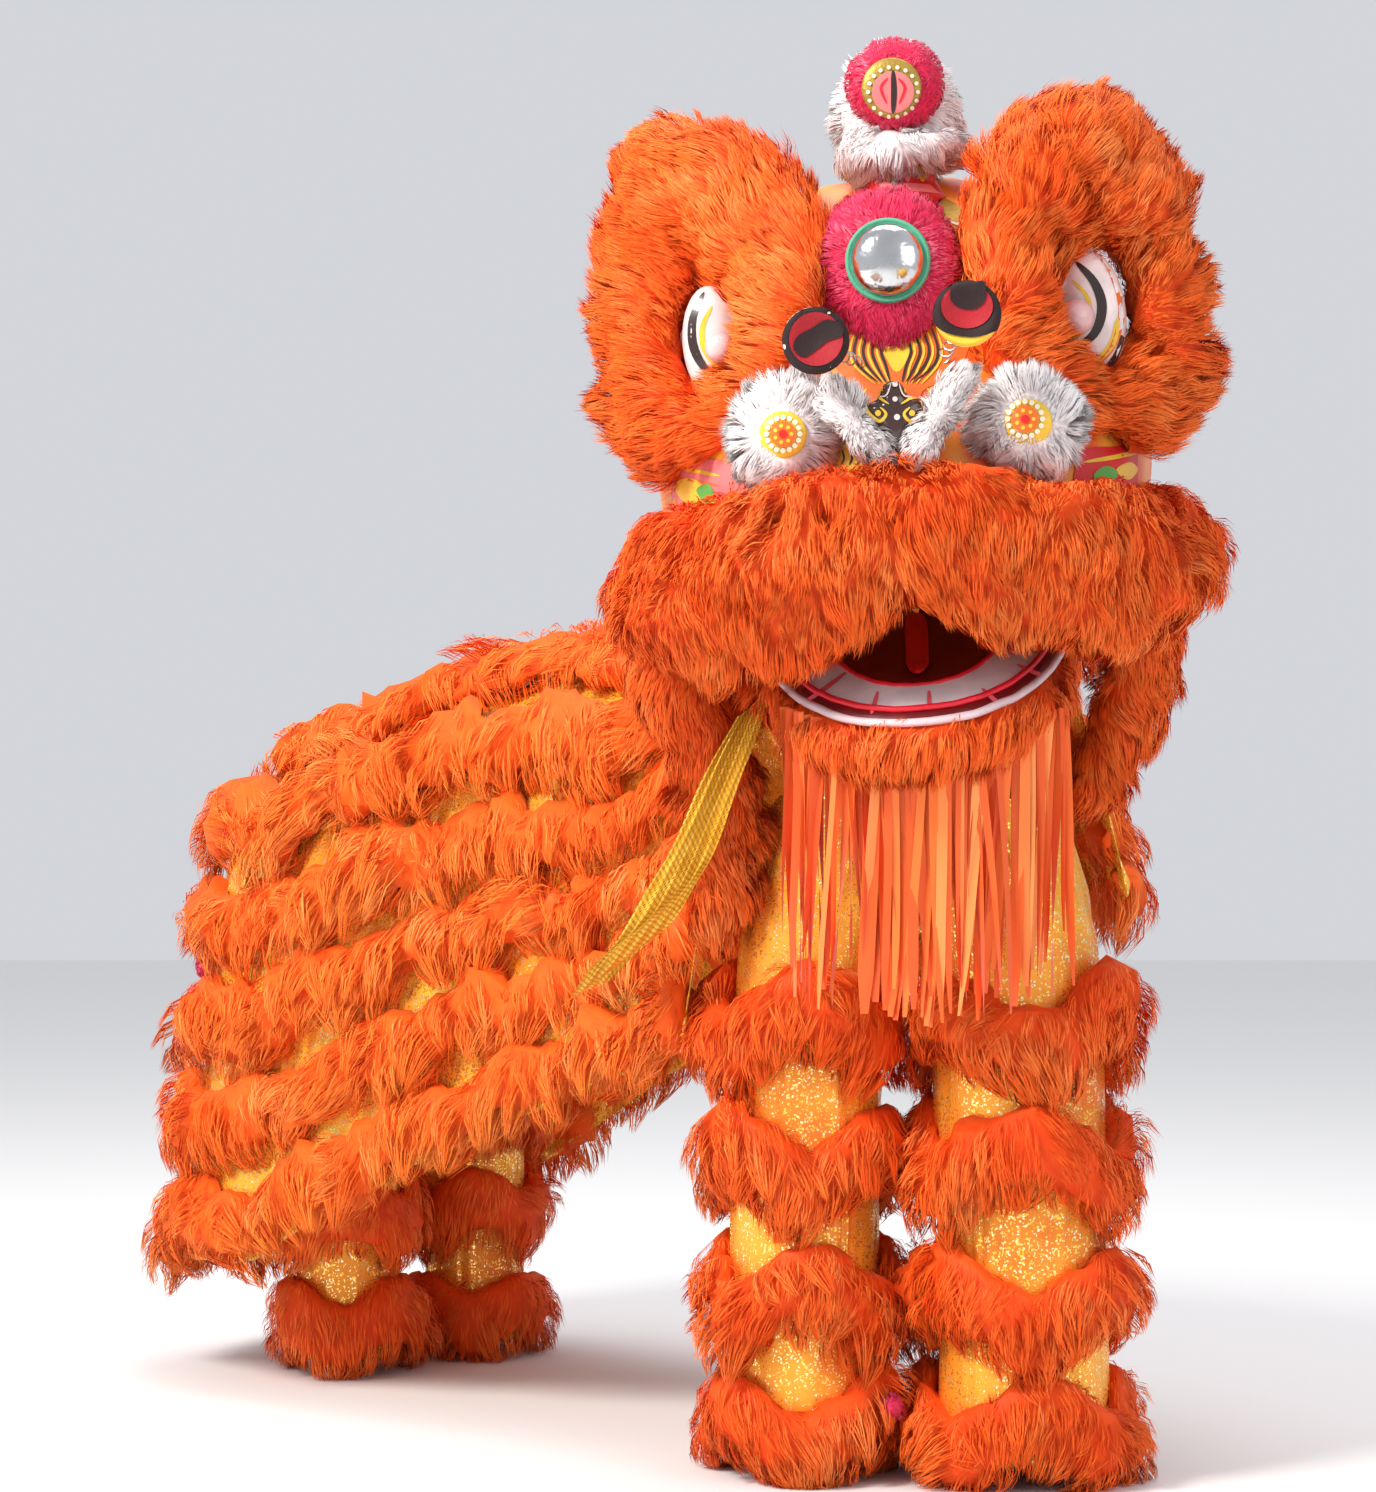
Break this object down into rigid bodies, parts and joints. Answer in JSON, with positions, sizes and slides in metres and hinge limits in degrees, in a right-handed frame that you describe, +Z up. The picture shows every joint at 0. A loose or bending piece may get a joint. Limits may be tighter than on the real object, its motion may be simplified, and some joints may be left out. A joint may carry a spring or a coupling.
{
  "type": "lion dance costume",
  "caption": "Lion dance costume for two wearers: a furred lion head with a hanging jaw and a mirror, a gold scaled cape with wavy fur over a bent back, and fish-scale trousers.",
  "frame": {"origin": "middle of the lion's head, 1.15 m above the floor, where the front wearer holds it up", "axes": "+X to the lion's left, seen from in front to the right; -Y the way the lion faces; +Z up"},
  "size_m": [1.2982, 1.6169, 1.6256],
  "materials": {
    "orange_fur": "deep orange-red pile, long and dense",
    "white_fur": "long white pile",
    "pink_plush": "short crimson and pink plush",
    "head_paint": "painted lacquer over a light paper and cloth shell",
    "gold_cloth": "gold sequined cloth in fish scales",
    "gold_mesh": "open gold thread mesh",
    "orange_satin": "orange satin ribbon",
    "mouth_red": "dark red lacquer",
    "tooth_white": "white lacquer with pink lines",
    "tongue_red": "bright red cloth",
    "mirror": "convex silver mirror",
    "green_trim": "green braid",
    "nose_black": "glossy brown-black lacquer with yellow scrolls",
    "eye_paint": "painted eye, white and pale pink",
    "disc_yellow": "yellow and orange paint",
    "ball_red": "dark red ball with a cream and yellow back",
    "spring_steel": "bright spring wire",
    "horn_gold": "gold, red and purple paint",
    "dark_red": "dark red wool tuft"
  },
  "bodies": {
    "root": {"ball_left": "ball_red", "ball_right": "ball_red", "beard": "orange_satin", "brow_fur_left": "orange_fur", "brow_fur_right": "orange_fur", "cape": "gold_cloth", "cape_fur_1": "orange_fur", "cape_fur_2": "orange_fur", "cape_fur_3": "orange_fur", "cape_fur_4": "orange_fur", "cape_fur_5": "orange_fur", "cape_fur_6": "orange_fur", "chin_fur": "orange_fur", "eye_left": "eye_paint", "eye_right": "eye_paint", "eyeball_left": "eye_paint", "eyeball_right": "eye_paint", "forehead_mirror": "mirror", "front_fur_far_1": "orange_fur", "front_fur_far_2": "orange_fur", "front_fur_far_3": "orange_fur", "front_fur_far_4": "orange_fur", "front_fur_near_1": "orange_fur", "front_fur_near_2": "orange_fur", "front_fur_near_3": "orange_fur", "front_fur_near_4": "orange_fur", "front_trousers": "gold_cloth", "head_shell": "head_paint", "horn_base": "horn_gold", "horn_fur": "white_fur", "horn_medallion": "horn_gold", "horn_pad": "pink_plush", "jaw": "mouth_red", "jaw_bar": "mouth_red", "leg_pompom": "pink_plush", "lip_fur": "orange_fur", "mirror_pad": "pink_plush", "mirror_rim": "green_trim", "neck_fur_left": "orange_fur", "neck_fur_right": "orange_fur", "nose": "nose_black", "nose_fur_left": "white_fur", "nose_fur_right": "white_fur", "nostril_disc_left": "disc_yellow", "nostril_disc_right": "disc_yellow", "nostril_fur_left": "white_fur", "nostril_fur_right": "white_fur", "rear_fur_far_1": "orange_fur", "rear_fur_far_2": "orange_fur", "rear_fur_far_3": "orange_fur", "rear_fur_near_1": "orange_fur", "rear_fur_near_2": "orange_fur", "rear_trousers": "gold_cloth", "rump_pompom": "pink_plush", "sash": "gold_mesh", "spring_left": "spring_steel", "spring_right": "spring_steel", "tail_tuft": "dark_red", "teeth": "tooth_white", "tongue": "tongue_red"}
  },
  "joints": []
}
